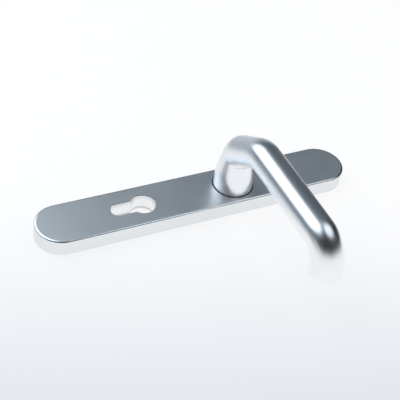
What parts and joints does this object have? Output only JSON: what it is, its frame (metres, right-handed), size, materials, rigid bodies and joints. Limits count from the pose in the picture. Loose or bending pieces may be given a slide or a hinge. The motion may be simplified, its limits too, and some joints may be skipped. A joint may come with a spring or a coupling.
{
  "type": "security door escutcheon",
  "caption": "Long narrow door plate with rounded ends, a keyhole-shaped cut-out for a profile cylinder, and a round-bar lever handle that turns down against a return spring.",
  "frame": {"origin": "on the lever's turning axis, in the plane of the plate's back, which lies on the door", "axes": "+Z out of the door, +X up the door along the plate, away from the cylinder hole; the lever points along -Y"},
  "size_m": [0.246, 0.1546, 0.0776],
  "materials": {
    "satin_aluminium": "satin, natural anodised",
    "hardened_steel": "hardened, ground",
    "bright_plated_steel": "hardened, bright nickel plated",
    "zinc_plated_steel": "bright zinc plated",
    "screw_steel": "zinc plated",
    "insert_steel": "machined",
    "spring_steel": "oiled spring steel",
    "washer_brass": "plain",
    "dark_plastic": "matt, moulded",
    "seal_rubber": "matt"
  },
  "bodies": {
    "plate": {"cover_plate": "satin_aluminium", "armour_plate": "bright_plated_steel", "cylinder_guard": "bright_plated_steel", "guard_dowels": "hardened_steel", "stop_pin": "hardened_steel", "carrier_plate": "zinc_plated_steel", "fixing_bosses": "zinc_plated_steel", "spring_cup": "zinc_plated_steel", "plate_screws": "screw_steel", "cup_screws": "screw_steel", "return_spring": "spring_steel", "guide_bush": "dark_plastic", "rear_bush": "dark_plastic"},
    "lever": {"lever": "satin_aluminium", "socket_insert": "insert_steel", "neck_seal": "seal_rubber", "thrust_washer": "washer_brass", "spring_driver": "insert_steel", "cone_washer": "spring_steel", "retaining_ring": "spring_steel"}
  },
  "joints": [
    {"name": "lever_turn", "type": "hinge", "parent": "plate", "child": "lever", "pos_m": [0, 0, 0], "axis": [0, 0, 1], "range_deg": [-45, 0], "stiffness_Nm_per_rad": 0.6, "springref_deg": 20.05, "deforming": ["return_spring"]}
  ]
}
